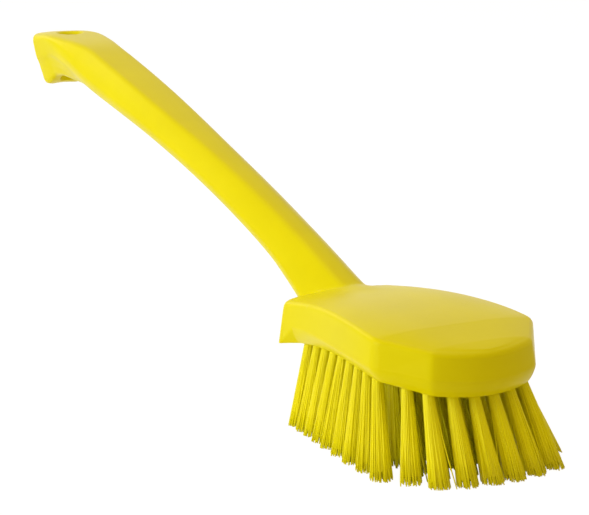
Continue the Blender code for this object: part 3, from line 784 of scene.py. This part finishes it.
def filament_path(tuft, index, rng):
    """Places along one filament, from its folded root in the hole to its trimmed end."""
    if index < INNER_FILAMENTS:
        spread = CORE_SHARE * math.sqrt((index + 0.5) / INNER_FILAMENTS)
        angle = GOLDEN_ANGLE * index
    else:
        spread = rng.uniform(2.0 * CORE_SHARE - 1.0, 1.0)
        shift = rng.uniform(-OUTER_SHIFT_SHARE, OUTER_SHIFT_SHARE)
        angle = math.tau * (index + shift) / OUTER_FILAMENTS
    root = Vector((math.cos(angle), math.sin(angle))) * BUNDLE_RADIUS * spread
    drift = Vector((rng.gauss(0, 1), rng.gauss(0, 1))) * FILAMENT_WANDER / 2
    bend = Vector((rng.gauss(0, 1), rng.gauss(0, 1))) * FILAMENT_BEND / 2
    if rng.random() < STRAY_CHANCE:
        stray = rng.uniform(0, math.tau)
        drift += Vector((math.cos(stray), math.sin(stray))) * STRAY_REACH
    cut = min(abs(rng.gauss(0, RAGGED_END)), LONGEST_CUT)
    mouth, down, turn = tuft["mouth"], tuft["down"], tuft["turn"]

    def offset(t):
        return root * flare(t) + drift * t * t + bend * math.sin(math.pi * t)

    points = [mouth - down * (TUFT_HOLE_DEPTH - TUFT_CLEARANCE) + turn @ root.to_3d()]
    for step in range(FILAMENT_STEPS + 1):
        t = step / FILAMENT_STEPS
        points.append(mouth + down * tuft["length"] * t + turn @ offset(t).to_3d())
    floor = -BRISTLE_REACH + FILAMENT_RADIUS / 2 + cut
    last, before = points[-1], points[-2]
    run = last - before
    points[-1] = before + run * ((before.z - floor) / -run.z)
    return points


def add_filament(mesh, points):
    """A thin closed tube along the points."""
    end = len(points) - 1
    directions = spokes(FILAMENT_SIDES)
    rings = []
    for index, point in enumerate(points):
        along = (points[min(index + 1, end)] - points[max(index - 1, 0)]).normalized()
        side = along.cross(Vector((0.0, 1.0, 0.0))).normalized()
        other = along.cross(side)
        rings.append([point + (side * x + other * y) * FILAMENT_RADIUS for x, y in directions])
    add_tube(mesh, rings)


def add_core(mesh, tuft):
    """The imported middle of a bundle, which the outer filaments cover."""
    radius = BUNDLE_RADIUS * CORE_SHARE
    directions = [Vector((x, y, 0.0)) * radius for x, y in spokes(CORE_SIDES)]
    rings = []
    for share in CORE_LEVEL_SHARES:
        centre = tuft["mouth"] + tuft["down"] * (tuft["length"] * share - CORE_SINK)
        rings.append([centre + tuft["turn"] @ around * flare(share) for around in directions])
    add_tube(mesh, rings)


def build_bundle(origin, tuft, rng):
    """One tuft: its single filaments round a packed middle."""
    mesh = bmesh.new()
    for index in range(INNER_FILAMENTS + OUTER_FILAMENTS):
        add_filament(mesh, filament_path(tuft, index, rng))
    add_core(mesh, tuft)
    bundle = mesh_object(f"bristles_{tuft['name']}", mesh, origin)
    bundle.data.shade_smooth()
    return bundle


# Shader helpers

def new_material(name):
    material = bpy.data.materials.new(name)
    material.use_nodes = True
    tree = material.node_tree
    return material, tree, tree.nodes["Principled BSDF"]


def add_node(tree, kind, **values):
    """A shader node with its named sockets and settings filled in."""
    node = tree.nodes.new(kind)
    for key, value in values.items():
        if hasattr(node, key):
            setattr(node, key, value)
        else:
            node.inputs[key.replace("_", " ")].default_value = value
    return node


def object_noise(tree, **values):
    """Noise in the object's own coordinates."""
    place = tree.nodes.new("ShaderNodeTexCoord")
    noise = add_node(tree, "ShaderNodeTexNoise", **values)
    tree.links.new(place.outputs["Object"], noise.inputs["Vector"])
    return noise.outputs["Fac"]


def tone(tree, factor, colors, places=(0.0, 1.0)):
    """A blend of two colours by a factor, each plain beyond its place."""
    blend = tree.nodes.new("ShaderNodeValToRGB")
    for element, color, place in zip(blend.color_ramp.elements, colors, places):
        element.position = place
        element.color = color
    tree.links.new(factor, blend.inputs["Fac"])
    return blend.outputs["Color"]


def number(tree, factor, low, high):
    """A number between two others by a factor."""
    span = add_node(tree, "ShaderNodeMapRange", To_Min=low, To_Max=high)
    tree.links.new(factor, span.inputs["Value"])
    return span.outputs["Result"]


def direct_rays(tree):
    """One for the rays that show the surroundings themselves: camera, mirror and clear-through rays."""
    rays = tree.nodes.new("ShaderNodeLightPath")
    seen = rays.outputs["Is Camera Ray"]
    for kind in ("Is Glossy Ray", "Is Transmission Ray"):
        either = add_node(tree, "ShaderNodeMath", operation="MAXIMUM")
        tree.links.new(seen, either.inputs[0])
        tree.links.new(rays.outputs[kind], either.inputs[1])
        seen = either.outputs["Value"]
    return seen


# Materials

def moulded_plastic():
    """Satin moulded polypropylene: a fine skin texture and faint cloudiness of the pigment."""
    material, tree, shader = new_material("moulded_plastic_yellow")
    link = tree.links.new
    cloud = object_noise(tree, Scale=CLOUD_SCALE, Detail=CLOUD_DETAIL, Roughness=CLOUD_GRAIN)
    link(tone(tree, cloud, MOULDED_COLORS, CLOUD_RANGE), shader.inputs["Base Color"])
    skin = object_noise(tree, Scale=SKIN_SCALE, Detail=SKIN_DETAIL)
    link(number(tree, skin, *MOULDED_ROUGHNESS), shader.inputs["Roughness"])
    bump = add_node(tree, "ShaderNodeBump", Strength=SKIN_BUMP, Distance=SKIN_DEPTH)
    link(skin, bump.inputs["Height"])
    link(bump.outputs["Normal"], shader.inputs["Normal"])
    shader.inputs["Specular IOR Level"].default_value = MOULDED_SPECULAR
    return material


def filament_plastic():
    """Stiff polyester filaments: each one a little lighter or darker than the next."""
    material, tree, shader = new_material("filament_yellow")
    link = tree.links.new
    strand = tree.nodes.new("ShaderNodeNewGeometry")
    streak = object_noise(tree, Scale=STREAK_SCALE, Detail=STREAK_DETAIL)
    shade = add_node(tree, "ShaderNodeMath", operation="MULTIPLY_ADD")
    link(streak, shade.inputs[0])
    shade.inputs[1].default_value = STREAK_SHARE
    link(strand.outputs["Random Per Island"], shade.inputs[2])
    link(tone(tree, shade.outputs["Value"], FILAMENT_COLORS), shader.inputs["Base Color"])
    shader.inputs["Roughness"].default_value = FILAMENT_ROUGHNESS
    shader.inputs["Specular IOR Level"].default_value = FILAMENT_SPECULAR
    return material


def floor_material():
    """Pale floor that the camera sees as white, with the object's shadow kept."""
    material, tree, shader = new_material("floor_white")
    tree.nodes.remove(shader)
    link = tree.links.new
    output = tree.nodes["Material Output"]
    matt = add_node(tree, "ShaderNodeBsdfDiffuse", Color=FLOOR_COLOR)
    glow = add_node(tree, "ShaderNodeEmission", Color=BACKGROUND, Strength=FLOOR_GLOW)
    share = add_node(tree, "ShaderNodeMath", operation="MULTIPLY")
    link(direct_rays(tree), share.inputs[0])
    share.inputs[1].default_value = FLOOR_GLOW_SHARE
    mix = tree.nodes.new("ShaderNodeMixShader")
    link(share.outputs["Value"], mix.inputs["Fac"])
    link(matt.outputs["BSDF"], mix.inputs[1])
    link(glow.outputs["Emission"], mix.inputs[2])
    link(mix.outputs["Shader"], output.inputs["Surface"])
    return material


# Stage, light and camera

def build_stage():
    mesh = bmesh.new()
    bmesh.ops.create_grid(mesh, x_segments=1, y_segments=1, size=STAGE_SIZE)
    floor = add_object("floor", mesh_data("floor", mesh))
    floor.data.materials.append(floor_material())


def build_world():
    """Dim, warm light from all round, which direct rays see as a white background."""
    world = bpy.data.worlds.new("studio")
    world.use_nodes = True
    bpy.context.scene.world = world
    tree = world.node_tree
    back = tree.nodes["Background"]
    seen = direct_rays(tree)
    tree.links.new(tone(tree, seen, (AMBIENT_COLOR, BACKGROUND)), back.inputs["Color"])
    tree.links.new(number(tree, seen, AMBIENT_LEVEL, BACKGROUND_LEVEL), back.inputs["Strength"])


def turn_to(made, place, aim):
    """Puts a lamp or the camera at its place, facing the aim."""
    turn = (aim - place).to_track_quat("-Z", "Y")
    made.matrix_world = Matrix.Translation(place) @ turn.to_matrix().to_4x4()


def softbox(name, place, size, watts, color):
    lamp = bpy.data.lights.new(name, "AREA")
    lamp.shape = "DISK"
    lamp.color = color
    lamp.size = size
    lamp.energy = watts
    turn_to(add_object(name, lamp), place, LAMP_AIM)


def build_camera():
    lens = bpy.data.cameras.new("camera")
    lens.sensor_width = SENSOR_MM
    lens.lens = LENS_MM
    lens.clip_end = CAMERA_REACH
    camera = add_object("camera", lens)
    turn_to(camera, CAMERA_PLACE, CAMERA_AIM)
    bpy.context.scene.camera = camera


def main():
    build_camera()
    tufts = tuft_layout()
    rings = handle_rings()
    rearmost = min(point.x for ring_points in rings for point in ring_points)
    origin = Vector((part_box("brush_body")[0][0] - rearmost, 0.0, BRISTLE_REACH))

    body = build_body(origin, rings, tufts)
    body.data.materials.clear()
    body.data.materials.append(moulded_plastic())
    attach(body, "root")
    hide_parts("brush_body")

    filament = filament_plastic()
    rng = random.Random(SEED)
    for tuft in tufts:
        bundle = build_bundle(origin, tuft, rng)
        bundle.data.materials.append(filament)
        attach(bundle, "root")
        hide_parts(f"tuft_{tuft['name']}")

    build_stage()
    build_world()
    for lamp in LAMPS:
        softbox(*lamp)
    bpy.context.scene.view_settings.view_transform = "Standard"


main()
